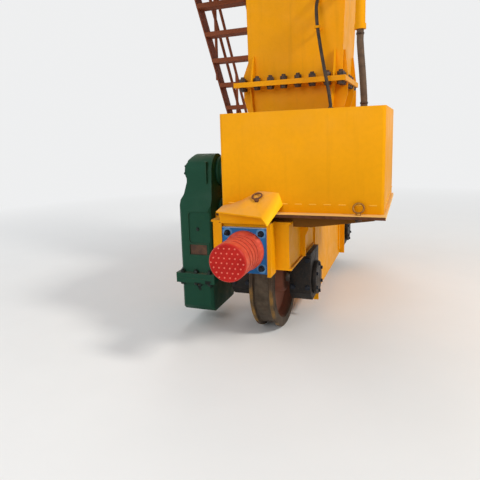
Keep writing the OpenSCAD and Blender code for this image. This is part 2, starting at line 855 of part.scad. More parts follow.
module beam_flange() {
  half = beam_w / 2 + 95;
  mid = beam_top - beam_h / 2;
  deep = beam_h / 2 + 95;
  color(yellow) from_rail() difference() {
    block([-half, beam_y - flange_t, mid - deep], [half, beam_y, mid + deep]);
    for (sx = [-1, 1], sz = [-1, 1])
      translate([sx * beam_hole_x, beam_y - flange_t - 1, mid + sz * beam_hole_z])
        rotate([-90, 0, 0]) cylinder(d = splice_hole_d, h = flange_t + 2);
  }
}

rail_d = 34;
stair_low = 300;
stair_out = -stair_x - stair_w;
// Where the middle line of the stringers meets the level of the landing
stair_top_y = -114;
string_t = 12;
tread_half = 85;
tread_t = 45;
slope = atan(rise / run);
string_up = string_deep / 2 / cos(slope);     // half the stringer measured plumb
landing_y1 = stair_top_y + tread_half;
landing_y0 = landing_y1 - landing_l;
function stair_y(z) = stair_top_y + (landing_z - z) * run / rise;

// Flat bar stringers, cut level at the foot and under the landing
module stair_stringers() {
  top = landing_z - 6;
  color(primer) from_rail() for (x = [stair_out, -stair_x - string_t])
    side_view(x, string_t)
      polygon([[stair_y(stair_low + string_up), stair_low],
        [stair_y(stair_low - string_up), stair_low], [stair_y(top - string_up), top],
        [stair_y(top + string_up), top]]);
}

module stair_treads() {
  steps = floor((landing_z - stair_low) / rise);
  color(primer) from_rail() for (k = [1:steps - 1]) {
    z = landing_z - k * rise;
    block([stair_out + string_t, stair_y(z) - tread_half, z - tread_t],
      [-stair_x - string_t, stair_y(z) + tread_half, z]);
  }
}

// Landing plate with an edge bar on its two sides and at its far end
module stair_landing() {
  top = landing_z - 6;
  low = landing_z - 100;
  color(primer) from_rail() union() {
    block([stair_out, landing_y0, top], [-stair_x, landing_y1, landing_z]);
    for (x = [stair_out, -stair_x - string_t])
      side_view(x, string_t)
        polygon([[landing_y0, low], [stair_y(low + string_up) - seat_gap, low],
          [stair_y(top + string_up) - seat_gap, top], [landing_y0, top]]);
    block([stair_out, landing_y0, low], [-stair_x, landing_y0 + string_t, top]);
  }
}

// A round bar between two points
module bar(a, b, d) {
  v = b - a;
  translate(a) rotate([0, acos(v[2] / norm(v)), atan2(v[1], v[0])])
    cylinder(d = d, h = norm(v));
}

// Straight tubes through the points of a list, with a ball elbow at each bend
module bent_tube(points, d) {
  union() {
    for (i = [0:len(points) - 2]) bar(points[i], points[i + 1], d);
    for (i = [1:1:len(points) - 2]) translate(points[i]) sphere(d = 1.3 * d);
  }
}

// Handrails on both sides of the flight. The outer one turns level along the
// landing and across its end. Each post is coped under its top rail.
module stair_rails() {
  out_x = stair_out - rail_d / 2;
  in_x = -stair_x + rail_d / 2;
  knee = rail_d + seat_gap;
  reach = rail_d / 2 + seat_gap;
  low_z = stair_low + 180;
  top_z = landing_z - 20;
  turn_y = stair_y(top_z);
  end_y = landing_y0 - rail_d / 2;
  knee_z = top_z + rail_h / 2;
  foot_drop = 60;
  function flight(x, h) = [[x, stair_y(low_z), low_z + h], [x, turn_y, top_z + h]];
  function level(x, h) = concat(flight(x, h), [[x, end_y, top_z + h],
    [in_x, end_y, top_z + h]]);
  color(primer) from_rail() {
    bent_tube(level(out_x, rail_h), rail_d);
    bar(flight(in_x, rail_h)[0], flight(in_x, rail_h)[1], rail_d);
    bar(flight(out_x + knee, rail_h / 2)[0], flight(out_x + knee, rail_h / 2)[1], rail_d);
    bar(flight(in_x - knee, rail_h / 2)[0], flight(in_x - knee, rail_h / 2)[1], rail_d);
    bar([out_x, turn_y - reach, knee_z], [out_x, end_y + reach, knee_z], rail_d);
    bar([out_x + reach, end_y, knee_z], [in_x - reach, end_y, knee_z], rail_d);
    difference() {
      union() {
        for (x = [out_x, in_x], k = [0:3]) {
          z = low_z + k / 3 * (top_z - low_z);
          translate([x, stair_y(z), z - foot_drop]) cylinder(d = rail_d, h = rail_h + foot_drop);
        }
        for (x = [out_x, in_x])
          translate([x, end_y, top_z - foot_drop])
            cylinder(d = rail_d, h = rail_h + foot_drop);
      }
      bent_tube(level(out_x, rail_h), rail_d + 2 * seat_gap);
      bar(flight(in_x, rail_h)[0], flight(in_x, rail_h)[1], rail_d + 2 * seat_gap);
    }
  }
}

// Bars that carry the stair from the bogie, the ground beam and the leg
module stair_brackets() {
  bar_h = 60;
  function held(z) = [stair_y(z), z];
  color(yellow) from_rail()
    for (b = [[held(900), side_x], [held(1600), beam_w / 2], [held(2590), leg_left],
        [[-236, landing_z - 80], leg_left], [[-400, landing_z - 80], leg_left]])
      block([-stair_x, b[0][0], b[0][1] - bar_h / 2],
        [-b[1], b[0][0] + string_t, b[0][1] + bar_h / 2]);
}

// Ring of a round tube at point i of its route, square to the route
function ring(path, i, r, sides) =
  let (n = len(path), a = path[max(i - 1, 0)], b = path[min(i + 1, n - 1)],
    d = (b - a) / norm(b - a), u0 = cross(d, [1, 0.3, 0]), u = u0 / norm(u0), v = cross(d, u))
  [for (k = [0:sides - 1]) path[i] + r * (cos(360 * k / sides) * u + sin(360 * k / sides) * v)];

// A closed round tube swept along a route
module tube(path, d, sides = 10) {
  n = len(path);
  points = [for (i = [0:n - 1]) each ring(path, i, d / 2, sides)];
  walls = [for (i = [0:n - 2], k = [0:sides - 1])
    let (a = i * sides + k, b = i * sides + (k + 1) % sides) [a, b, b + sides, a + sides]];
  first = [for (k = [sides - 1:-1:0]) k];
  last = [for (k = [0:sides - 1]) (n - 1) * sides + k];
  polyhedron(points, concat([first], walls, [last]), convexity = 4);
}

// Points evenly spread along a smooth curve through hand chosen points
function smooth(p, parts) = [for (i = [0:len(p) - 2], k = [0:parts - 1])
    let (t = k / parts, a = p[max(i - 1, 0)], b = p[i], c = p[i + 1],
      d = p[min(i + 2, len(p) - 1)])
    0.5 * ((2 * b) + (c - a) * t + (2 * a - 5 * b + 4 * c - d) * t * t
      + (3 * b - a - 3 * c + d) * t * t * t),
  p[len(p) - 1]];

// Steel conduit up the leg, its two clamps, and the clip of the cable
module conduit_pipe() {
  h = 40;
  color(yellow) from_rail() {
    union() {
      translate([pipe_x, pipe_y, pipe_low]) cylinder(d = pipe_d, h = splice_z - pipe_low);
      translate([pipe_x, pipe_y, pipe_low]) cylinder(d = pipe_d + 14, h = h);
    }
    for (z = [pipe_low + 330, pipe_low + 820]) {
      front = -leg_half_y(z + h) - seat_gap;
      right = leg_half_x(z);
      difference() {
        union() {
          translate([pipe_x, pipe_y, z]) cylinder(d = pipe_d + 24, h = h);
          translate([0, 0, z]) linear_extrude(h)
            polygon([[right - 95, front], [right - 35, front], [pipe_x - 10, pipe_y + 40],
              [pipe_x - 40, pipe_y + 10]]);
        }
        translate([pipe_x, pipe_y, z - 1]) cylinder(d = pipe_d + 2 * seat_gap, h = h + 2);
      }
    }
    cable_clip();
  }
}

// Eye on an arm that holds the cable off the front wall of the leg
module cable_clip() {
  h = 20;
  front = -leg_half_y(clip_at[2] + h / 2) - seat_gap;
  difference() {
    translate([clip_at[0], clip_at[1], clip_at[2] - h / 2]) union() {
      cylinder(d = cable_d + 22, h = h);
      block([-7, 0, 0], [7, front - clip_at[1], h]);
    }
    translate([clip_at[0], clip_at[1], clip_at[2] - h])
      cylinder(d = cable_d + 6, h = 2 * h);
  }
}

// Points of a cord that leaves straight at its first and at its last point
function cord_path(p, parts) = let (n = len(p)) concat([p[0]],
  smooth([for (i = [1:n - 2]) p[i]], parts), [p[n - 1]]);

// Rubber hose from its gland on the hood up to the end of the conduit
module conduit_hose() {
  color(brown) from_rail() tube(cord_path(hose_route, 6), hose_d, 12);
}

// Supply cable of the motor, from its gland on the hood into the leg
module supply_cable() {
  color(black) from_rail() tube(cord_path(cable_route, 6), cable_d, 10);
}

bogie_side_left();
bogie_side_right();
bogie_top_plate();
bogie_bottom_plates();
bogie_end_plates();
bearing_seats();
buffer_box();
buffer_plate();
buffer();
buffer_cap();
wheel_front();
wheel_rear();
axle_front();
axle_rear();
bearing_boxes_front();
bearing_boxes_rear();
bearing_covers_front();
bearing_covers_rear();
gearbox_lower();
gearbox_upper();
gearbox_caps();
torque_bracket();
bell_housing();
motor_hood();
platform_plate();
platform_supports();
eye_bolt();
foot_face_plates();
foot_side_plates();
foot_flange();
leg_flange();
leg_face_plates();
leg_side_plates();
flange_gussets();
splice_flange();
ground_beam();
beam_flange();
stair_stringers();
stair_treads();
stair_landing();
stair_rails();
stair_brackets();
conduit_pipe();
conduit_hose();
supply_cable();
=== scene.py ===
"""Looks of the lower end of a gantry crane leg: finishes, bolts, welds, hose and cable."""
import json
import math
import random

import bmesh
import bpy
from mathutils import Matrix, Vector


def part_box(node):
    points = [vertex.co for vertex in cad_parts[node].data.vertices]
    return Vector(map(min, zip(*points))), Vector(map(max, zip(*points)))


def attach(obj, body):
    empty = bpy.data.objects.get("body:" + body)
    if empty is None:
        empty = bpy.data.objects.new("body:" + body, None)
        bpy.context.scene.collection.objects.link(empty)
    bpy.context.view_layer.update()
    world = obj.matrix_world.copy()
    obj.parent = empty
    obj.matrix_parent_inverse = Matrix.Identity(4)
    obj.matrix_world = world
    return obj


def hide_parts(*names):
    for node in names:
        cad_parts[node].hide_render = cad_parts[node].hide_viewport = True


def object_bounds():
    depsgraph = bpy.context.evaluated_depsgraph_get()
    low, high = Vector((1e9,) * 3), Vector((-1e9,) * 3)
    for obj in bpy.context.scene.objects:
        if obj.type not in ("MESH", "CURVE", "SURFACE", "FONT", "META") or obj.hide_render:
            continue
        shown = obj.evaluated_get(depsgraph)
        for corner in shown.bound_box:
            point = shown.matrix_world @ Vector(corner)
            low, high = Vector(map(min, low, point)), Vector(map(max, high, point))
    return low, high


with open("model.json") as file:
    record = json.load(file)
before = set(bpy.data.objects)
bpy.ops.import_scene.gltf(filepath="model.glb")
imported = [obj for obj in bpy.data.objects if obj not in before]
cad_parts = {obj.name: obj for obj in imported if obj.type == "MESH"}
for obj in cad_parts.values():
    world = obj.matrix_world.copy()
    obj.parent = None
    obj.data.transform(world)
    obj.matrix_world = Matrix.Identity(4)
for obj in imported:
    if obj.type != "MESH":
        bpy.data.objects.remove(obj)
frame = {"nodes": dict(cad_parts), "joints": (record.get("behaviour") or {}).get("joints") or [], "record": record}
cad_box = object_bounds()
nodes = frame["nodes"]

# Places taken from the frame: the middle of the rail, its top, the axles
FLANGE_H = 0.028          # the wheels' flanges reach this far below the top of the rail
joint_at = {j["name"]: Vector(j["pos_m"]) for j in frame["joints"]}
front_axle = joint_at["wheel_front_spin"]
rear_axle = joint_at["wheel_rear_spin"]
rail_x = front_axle.x
rail_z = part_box("wheel_front")[0].z + FLANGE_H


def at(x, y, z):
    """A point given across the rail, along it and above it, in millimetres."""
    return Vector((rail_x + x / 1000, y / 1000, rail_z + z / 1000))


# Camera of the photograph, measured from its three vanishing points
CAMERA_AT = at(1050, -4850, 1600)
CAMERA_YAW = math.radians(23.3)
CAMERA_PITCH = math.radians(9.6)
CAMERA_ROLL = math.radians(-2.3)
SENSOR_MM = 36.0
LENS_MM = 36.44
SHIFT = (0.07, -0.054)
FAR_CLIP = 200.0


def make_camera():
    """The photo's camera. Its turns are about axes that point right, down and ahead."""
    data = bpy.data.cameras.new("camera")
    data.sensor_width = SENSOR_MM
    data.lens = LENS_MM
    data.shift_x, data.shift_y = SHIFT
    data.clip_end = FAR_CLIP
    turn = (Matrix.Rotation(CAMERA_ROLL, 3, "Z") @ Matrix.Rotation(CAMERA_PITCH, 3, "X")
            @ Matrix.Rotation(CAMERA_YAW, 3, "Y"))
    photo_axes = Matrix(((1, 0, 0), (0, 0, -1), (0, 1, 0)))
    camera_axes = Matrix(((1, 0, 0), (0, -1, 0), (0, 0, -1)))
    camera = bpy.data.objects.new("camera", data)
    camera.matrix_world = (Matrix.Translation(CAMERA_AT)
                           @ (camera_axes @ turn @ photo_axes).transposed().to_4x4())
    bpy.context.scene.collection.objects.link(camera)
    bpy.context.scene.camera = camera


make_camera()


# Materials

class Shader:
    """Builds one node material. Values are sockets or plain numbers."""

    def __init__(self, name):
        self.material = bpy.data.materials.new(name)
        self.material.use_nodes = True
        self.tree = self.material.node_tree
        self.tree.nodes.clear()
        self.surface = self.node("ShaderNodeBsdfPrincipled")
        self.out = self.node("ShaderNodeOutputMaterial")
        self.tree.links.new(self.surface.outputs["BSDF"], self.out.inputs["Surface"])
        self.place = self.node("ShaderNodeTexCoord").outputs["Object"]

    def node(self, kind, **inputs):
        made = self.tree.nodes.new(kind)
        for key, value in inputs.items():
            self.put(made.inputs[key], value)
        return made

    def put(self, socket, value):
        """Links a socket to value, or sets it. A colour of three numbers gets its alpha."""
        if isinstance(value, bpy.types.NodeSocket):
            self.tree.links.new(value, socket)
        elif isinstance(value, tuple) and len(value) == 3 and socket.type == "RGBA":
            socket.default_value = (*value, 1.0)
        else:
            socket.default_value = value

    def stretched(self, x, y, z):
        """Object coordinates scaled on each axis."""
        return self.node("ShaderNodeMapping", Vector=self.place, Scale=(x, y, z)).outputs[0]

    def noise(self, scale, detail=3.0, rough=0.55, where=None):
        """Clouds, with scale as about their number on a metre."""
        made = self.node("ShaderNodeTexNoise", Vector=where or self.place, Scale=scale,
                         Detail=detail, Roughness=rough)
        return made.outputs["Fac"]

    def between(self, value, low, high, to_low=0.0, to_high=1.0):
        """Maps a range of value to a range of output, clamped."""
        made = self.node("ShaderNodeMapRange", Value=value)
        made.inputs["From Min"].default_value = low
        made.inputs["From Max"].default_value = high
        self.put(made.inputs["To Min"], to_low)
        self.put(made.inputs["To Max"], to_high)
        return made.outputs["Result"]

    def math(self, operation, a, b=0.0):
        made = self.tree.nodes.new("ShaderNodeMath")
        made.operation = operation
        self.put(made.inputs[0], a)
        self.put(made.inputs[1], b)
        return made.outputs[0]

    def times(self, a, b):
        return self.math("MULTIPLY", a, b)

    def plus(self, a, b):
        return self.math("ADD", a, b)

    def minus(self, a, b):
        return self.math("SUBTRACT", a, b)

    def hypot(self, a, b):
        """Distance from an axis, from the two steps away from it."""
        return self.math("SQRT", self.plus(self.times(a, a), self.times(b, b)))

    def mix(self, share, a, b):
        """Colour a with a share of b. The node's sockets 6, 7 and 2 are its colours."""
        made = self.tree.nodes.new("ShaderNodeMix")
        made.data_type = "RGBA"
        self.put(made.inputs[0], share)
        self.put(made.inputs[6], a)
        self.put(made.inputs[7], b)
        return made.outputs[2]

    def axis(self, name, source=None):
        """One coordinate of the place on the object, or of another vector."""
        made = self.node("ShaderNodeSeparateXYZ", Vector=source or self.place)
        return made.outputs[name]

    def normal(self, name):
        """One coordinate of the direction that the surface faces."""
        return self.axis(name, self.node("ShaderNodeNewGeometry").outputs["Normal"])

    def lying(self, share):
        """share on faces that point up, 0 on walls and undersides."""
        return self.times(self.between(self.normal("Z"), 0.55, 0.95), share)

    def edges(self, radius):
        """1 along outer and inner edges of the mesh, 0 on flat faces."""
        dot = self.tree.nodes.new("ShaderNodeVectorMath")
        dot.operation = "DOT_PRODUCT"
        self.put(dot.inputs[0], self.node("ShaderNodeBevel", Radius=radius).outputs[0])
        self.put(dot.inputs[1], self.node("ShaderNodeNewGeometry").outputs["Normal"])
        return self.between(dot.outputs["Value"], 0.995, 0.80)

    def bump(self, height, strength, distance):
        made = self.node("ShaderNodeBump", Height=height, Strength=strength, Distance=distance)
        self.put(self.surface.inputs["Normal"], made.outputs[0])

    def finish(self, color, rough, metal=0.0, specular=0.3):
        self.put(self.surface.inputs["Base Color"], color)
        self.put(self.surface.inputs["Roughness"], rough)
        self.put(self.surface.inputs["Metallic"], metal)
        self.surface.inputs["Specular IOR Level"].default_value = specular
        return self.material


YELLOW = (0.830, 0.340, 0.001)
GREEN = (0.010, 0.060, 0.033)
BLUE = (0.016, 0.128, 0.345)
BROWN = (0.250, 0.074, 0.032)
EDGE_BROWN = (0.075, 0.024, 0.009)
DUST = (0.42, 0.34, 0.25)
RUST = (0.20, 0.065, 0.022)
PRIMER = (0.24, 0.07, 0.04)
BLACK_OIL = (0.006, 0.008, 0.007)

OIL_PLUGS = ((-577, 345), (-481, 366))    # on the front of the lower gearbox, rail mm
PLATE_BOLT_IN = 0.040                     # bolts of the buffer's plate in from its edges


def scaled(color, k):
    return tuple(min(1.0, c * k) for c in color)


def paint(name, color, gloss=0.36, chips=0.5, dust=0.30, peel=0.10, specular=0.13, stains_and_painted_light=None):
    """Brushed and sprayed paint on steel plate, with patches, runs, chips and dust.
    The last argument, where given, is a function of the shader and the paint's colour which adds oil, worn paint
    and, on the cover, painted sunlight on its folded side."""
    s = Shader(name)
    patches = s.between(s.noise(1.7, 4.0), 0.35, 0.70)
    mottle = s.between(s.noise(38.0, 3.0), 0.40, 0.75, 0.0, 0.20)
    down_the_wall = s.stretched(16.0, 16.0, 0.9)
    runs = s.between(s.noise(1.0, 3.0, where=down_the_wall), 0.56, 0.78, 0.0, 0.30)
    tone = s.mix(patches, scaled(color, 0.93), scaled(color, 1.05))
    tone = s.mix(mottle, tone, scaled(color, 0.80))
    tone = s.mix(runs, tone, scaled(color, 0.62))
    rubbed = s.times(s.edges(0.006), s.between(s.noise(30.0, 4.0), 0.46, 0.60))
    tone = s.mix(s.times(rubbed, 0.55 * chips), tone, PRIMER)
    spots = s.between(s.noise(55.0, 5.0, 0.65), 0.73, 0.77, 0.0, chips)
    tone = s.mix(spots, tone, RUST)
    if stains_and_painted_light:
        tone = stains_and_painted_light(s, tone)
    lying = s.lying(s.between(s.noise(6.0, 5.0), 0.30, 0.75, 0.25, 1.0))
    tone = s.mix(s.times(lying, dust), tone, DUST)
    rough = s.between(s.noise(9.0, 4.0), 0.30, 0.75, gloss, gloss + 0.22)
    rough = s.plus(rough, s.times(lying, 0.18))
    skin = s.plus(s.times(s.noise(140.0, 2.0), peel), s.times(s.noise(7.0, 2.0), 0.55))
    s.bump(s.minus(skin, s.times(spots, 0.6)), 0.30, 0.0022)
    return s.finish(tone, rough, specular=specular)


def ledge_paint():
    """Pale worn yellow on the top of the platform, and the same pale yellow on its right side as a painted
    highlight of that lit side; brown steel below and on its other edges."""
    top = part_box("platform_plate")[1].z
    skin, blur = 0.003, 0.002
    s = Shader("ledge_paint")
    on_top = s.between(s.axis("Z"), top - skin, top - skin + blur)
    # The right side takes the top's pale yellow because it faces +X: a painted highlight of that lit side.
    painted = s.math("MAXIMUM", on_top, s.between(s.normal("X"), 0.4, 0.7))
    yellow = s.mix(s.between(s.noise(2.2, 4.0), 0.35, 0.7), (0.80, 0.40, 0.060),
                   (0.88, 0.52, 0.140))
    brown = s.mix(s.between(s.noise(26.0, 4.0), 0.35, 0.7), scaled(EDGE_BROWN, 0.7),
                  scaled(EDGE_BROWN, 1.7))
    tone = s.mix(painted, brown, yellow)
    lying = s.lying(s.between(s.noise(5.0, 5.0), 0.35, 0.8))
    tone = s.mix(s.times(lying, 0.45), tone, DUST)
    s.bump(s.noise(90.0, 3.0), 0.35, 0.002)
    return s.finish(tone, s.between(painted, 0.0, 1.0, 0.75, 0.48), specular=0.2)


def oil_under_plugs(s, tone):
    """Black oil that ran down the front of the gearbox from its two plugs."""
    above, length = 0.026, 0.095
    half_at_plug, half_at_end = 0.032, 0.006
    ragged = s.between(s.noise(28.0, 4.0), 0.3, 0.7, -0.010, 0.010)
    for x, z in OIL_PLUGS:
        plug = at(x, 0, z)
        aside = s.plus(s.math("ABSOLUTE", s.minus(s.axis("X"), plug.x)), ragged)
        drop = s.minus(plug.z + above, s.axis("Z"))
        half = s.between(drop, 0.0, length, half_at_plug, half_at_end)
        run = s.times(s.between(s.minus(half, aside), -0.003, 0.005),
                      s.between(drop, 0.0, 0.008))
        run = s.times(run, s.between(drop, 0.070, 0.100, 0.92, 0.0))
        tone = s.mix(run, tone, BLACK_OIL)
    return tone


def plate_bolts_at():
    """The places (x, z) of the four bolts of the buffer's plate."""
    low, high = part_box("buffer_plate")
    return [(x, z) for x in (low.x + PLATE_BOLT_IN, high.x - PLATE_BOLT_IN)
            for z in (low.z + PLATE_BOLT_IN, high.z - PLATE_BOLT_IN)]


def worn_round_bolts(s, tone):
    """Pale worn paint round the bolts of the buffer's plate, and a pale grey band just under its top edge."""
    worn_r, blur = 0.031, 0.007
    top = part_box("buffer_plate")[1].z
    ragged = s.between(s.noise(34.0, 4.0), 0.3, 0.7, -0.006, 0.006)
    for x, z in plate_bolts_at():
        away = s.hypot(s.minus(s.axis("X"), x), s.minus(s.axis("Z"), z))
        ring = s.between(s.plus(away, ragged), worn_r + blur, worn_r, 0.0, 0.55)
        tone = s.mix(ring, tone, (0.16, 0.34, 0.56))
    edge = s.between(s.axis("Z"), top - 0.006, top - 0.003, 0.0, 0.6)
    return s.mix(edge, tone, (0.50, 0.56, 0.60))


def painted_sunlit_fold(s, tone):
    """Brighter yellow on the folded side of the cover, the side that faces +X: painted sunlight on that side."""
    return s.mix(s.between(s.normal("X"), 0.35, 0.60), tone, (0.90, 0.50, 0.002))


def greasy_iron():
    """Black castings with grease, dust stuck in it and rubbed edges."""
    s = Shader("greasy_iron")
    film = s.noise(14.0, 5.0)
    tone = s.mix(s.between(film, 0.35, 0.7), (0.006, 0.005, 0.0045), (0.026, 0.020, 0.016))
    stuck = s.between(s.noise(60.0, 4.0, 0.7), 0.58, 0.72, 0.0, 0.55)
    tone = s.mix(stuck, tone, (0.100, 0.072, 0.048))
    rubbed = s.times(s.edges(0.007), s.between(film, 0.45, 0.65, 0.0, 0.6))
    tone = s.mix(rubbed, tone, (0.20, 0.19, 0.18))
    s.bump(s.plus(s.noise(70.0, 4.0), s.times(film, 0.8)), 0.6, 0.003)
    return s.finish(tone, s.between(film, 0.30, 0.72, 0.34, 0.74), specular=0.2)


def wheel_steel():
    """Rolled wheels: worn tread, dusty flanks, red brown web and yellow paint left on the
    flanges."""
    low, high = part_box("wheel_front")
    flange_r = (high.z - low.z) / 2
    tread_r = flange_r - FLANGE_H
    tread_half = 0.056
    s = Shader("wheel_steel")
    on_front = s.math("LESS_THAN", s.axis("Y"), 0.0)
    centre_y = s.between(on_front, 0.0, 1.0, rear_axle.y, front_axle.y)
    out = s.hypot(s.minus(s.axis("Y"), centre_y), s.minus(s.axis("Z"), front_axle.z))
    side_out = s.math("ABSOLUTE", s.minus(s.axis("X"), rail_x))
    film = s.noise(11.0, 5.0)
    tone = s.mix(s.between(film, 0.3, 0.72), (0.028, 0.018, 0.010), (0.085, 0.056, 0.034))
    web = s.between(out, tread_r - 0.067, tread_r - 0.047, 1.0, 0.0)
    tone = s.mix(s.times(web, 0.85), tone, (0.300, 0.110, 0.065))
    on_tread = s.times(s.between(out, tread_r - 0.006, tread_r + 0.006, 1.0, 0.0),
                       s.between(side_out, tread_half - 0.006, tread_half, 1.0, 0.0))
    on_tread = s.times(on_tread, s.between(out, tread_r - 0.034, tread_r - 0.022))
    steel = s.mix(s.between(s.noise(24.0, 4.0), 0.35, 0.7), (0.055, 0.040, 0.025),
                  (0.135, 0.104, 0.072))
    tone = s.mix(on_tread, tone, steel)
    rubbed = s.times(s.edges(0.006), s.between(s.noise(20.0, 3.0), 0.3, 0.6, 0.3, 0.8))
    tone = s.mix(rubbed, tone, (0.200, 0.155, 0.110))
    rim = s.times(s.between(out, flange_r - 0.012, flange_r - 0.004),
                  s.between(s.noise(8.0, 5.0), 0.44, 0.62))
    tone = s.mix(s.times(rim, 0.60), tone, (0.34, 0.175, 0.030))
    s.bump(s.noise(85.0, 4.0), 0.45, 0.002)
    return s.finish(tone, s.between(on_tread, 0.0, 1.0, 0.72, 0.34), s.times(on_tread, 0.8))


def turned_steel():
    """Axle ends and shafts, turned and oiled, with a brown film."""
    s = Shader("turned_steel")
    rings = s.noise(1.0, 2.0, where=s.stretched(900.0, 3.0, 3.0))
    film = s.noise(16.0, 4.0)
    tone = s.mix(s.between(film, 0.4, 0.7), (0.34, 0.32, 0.30), (0.13, 0.09, 0.06))
    s.bump(rings, 0.15, 0.001)
    return s.finish(tone, s.between(film, 0.3, 0.7, 0.25, 0.55), metal=0.85)


def bolt_steel(name, clean, rusty):
    """Oiled bolts and nuts with brown rust in the corners."""
    s = Shader(name)
    film = s.noise(60.0, 4.0)
    tone = s.mix(s.between(film, 0.42, 0.62), clean, rusty)
    tone = s.mix(s.times(s.edges(0.002), 0.4), tone, scaled(rusty, 1.8))
    s.bump(s.noise(300.0, 3.0), 0.35, 0.0008)
    return s.finish(tone, s.between(film, 0.35, 0.7, 0.38, 0.68), metal=0.45)


def buffer_rubber():
    """Moulded red polyurethane: painted highlights on the knobs, chalky flank, painted shade in its ring grooves.
    """
    low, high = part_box("buffer")
    groove_first, groove_pitch = 0.044, 0.054      # out from the plate that carries it
    grooves_from, grooves_to = 0.070, 0.285
    s = Shader("buffer_rubber")
    cloud = s.noise(9.0, 4.0)
    tone = s.mix(s.between(cloud, 0.32, 0.7), (0.40, 0.006, 0.003), (0.50, 0.014, 0.008))
    # Painted highlight: the tips of the knobs are pale.
    knob = s.between(s.axis("Y"), low.y + 0.0052, low.y + 0.0012)
    tone = s.mix(s.times(knob, 0.85), tone, (0.80, 0.20, 0.14))
    flank = s.between(s.axis("Y"), low.y + 0.006, low.y + 0.030)
    chalk = s.times(flank, s.between(s.noise(30.0, 4.0), 0.35, 0.7, 0.40, 0.80))
    tone = s.mix(chalk, tone, (0.78, 0.135, 0.068))
    # Painted shade: darker red in the ring grooves of the flank.
    out = s.minus(high.y, s.axis("Y"))
    turns = s.math("DIVIDE", s.minus(out, groove_first), groove_pitch)
    off = s.math("ABSOLUTE", s.minus(turns, s.math("ROUND", turns)))
    grooved = s.times(s.between(out, grooves_from, grooves_from + 0.004),
                      s.between(out, grooves_to, grooves_to - 0.004))
    groove = s.times(s.between(off, 0.17, 0.05), grooved)
    tone = s.mix(s.times(groove, 0.85), tone, (0.200, 0.006, 0.004))
    scuff = s.between(s.noise(42.0, 5.0, 0.7), 0.66, 0.74, 0.0, 0.55)
    tone = s.mix(scuff, tone, (0.30, 0.055, 0.035))
    s.bump(s.plus(s.noise(160.0, 3.0), s.times(cloud, 0.6)), 0.25, 0.002)
    s.surface.inputs["Subsurface Weight"].default_value = 0.04
    return s.finish(tone, s.between(cloud, 0.3, 0.7, 0.38, 0.58), specular=0.18)


def hose_rubber():
    """Dusty fabric covered hose with a fine weave."""
    s = Shader("hose_rubber")
    film = s.noise(12.0, 4.0)
    tone = s.mix(s.between(film, 0.35, 0.7), (0.072, 0.044, 0.028), (0.170, 0.106, 0.062))
    weave = s.noise(1.0, 1.0, where=s.stretched(160.0, 160.0, 420.0))
    tone = s.mix(s.between(weave, 0.45, 0.65, 0.0, 0.35), tone, (0.055, 0.032, 0.020))
    s.bump(weave, 0.5, 0.0015)
    return s.finish(tone, 0.72)


def cable_rubber():
    """Black cable sheath with brown dust on it."""
    s = Shader("cable_rubber")
    film = s.noise(18.0, 4.0)
    tone = s.mix(s.between(film, 0.4, 0.72), (0.020, 0.014, 0.010), (0.080, 0.052, 0.032))
    s.bump(s.noise(120.0, 2.0), 0.2, 0.001)
    return s.finish(tone, s.between(film, 0.3, 0.7, 0.42, 0.66))


def rusty_iron():
    """Bare iron with dark and orange rust."""
    s = Shader("rusty_iron")
    film = s.noise(40.0, 5.0)
    tone = s.mix(s.between(film, 0.35, 0.68), (0.070, 0.024, 0.012), (0.230, 0.090, 0.035))
    s.bump(s.noise(150.0, 4.0), 0.6, 0.0015)
    return s.finish(tone, s.between(film, 0.3, 0.7, 0.65, 0.9))


def rusty_pane():
    """Smoother brown rust, for the plate in the gearbox's recess."""
    s = Shader("rusty_pane")
    film = s.noise(22.0, 4.0)
    tone = s.mix(s.between(film, 0.35, 0.7), (0.055, 0.026, 0.014), (0.110, 0.048, 0.022))
    s.bump(s.noise(90.0, 3.0), 0.3, 0.001)
    return s.finish(tone, 0.55)


FINISH = {
    "yellow_paint": paint("yellow_paint", YELLOW, specular=0.08),
    "green_paint": paint("green_paint", GREEN, gloss=0.42, chips=0.35, peel=0.5, dust=0.2,
                         stains_and_painted_light=oil_under_plugs),
    "blue_paint": paint("blue_paint", BLUE, chips=0.6, dust=0.2, stains_and_painted_light=worn_round_bolts),
    "red_primer": paint("red_primer", BROWN, gloss=0.55, chips=0.5, dust=0.25),
    "dark_paint": rusty_iron(),
    "black_iron": greasy_iron(),
    "wheel_steel": wheel_steel(),
    "axle_steel": turned_steel(),
    "buffer_rubber": buffer_rubber(),
    "hose_rubber": hose_rubber(),
    "cable_rubber": cable_rubber(),
}
BOLT = bolt_steel("bolt_steel", (0.030, 0.025, 0.022), (0.105, 0.055, 0.030))
DARK_BOLT = bolt_steel("dark_bolt_steel", (0.010, 0.020, 0.018), (0.022, 0.030, 0.024))
PLATE_BOLT = bolt_steel("plate_bolt_steel", (0.006, 0.009, 0.016), (0.020, 0.022, 0.028))
PALE_EYE = bolt_steel("eye_steel", (0.36, 0.17, 0.020), (0.22, 0.085, 0.020))
# The cover's paint, with painted sunlight on its folded side
CAP = paint("cap_paint", YELLOW, dust=0.42, specular=0.08, stains_and_painted_light=painted_sunlit_fold)
# Dark yellow-brown for the platform's supports: painted shade of the platform's underside, with the paint's dust
# and wear
UNDERSIDE_SHADE = paint("underside_shade_paint", (0.170, 0.066, 0.010), gloss=0.6, dust=0.1, specular=0.05)
WELD_PAINT = paint("weld_paint", (0.88, 0.44, 0.035), chips=0.2, dust=0.15, specular=0.08)

# Nodes with a finish of their own in place of their slot's; the supports' one is painted shade
NODE_FINISH = {"platform_plate": ledge_paint(), "platform_supports": UNDERSIDE_SHADE}


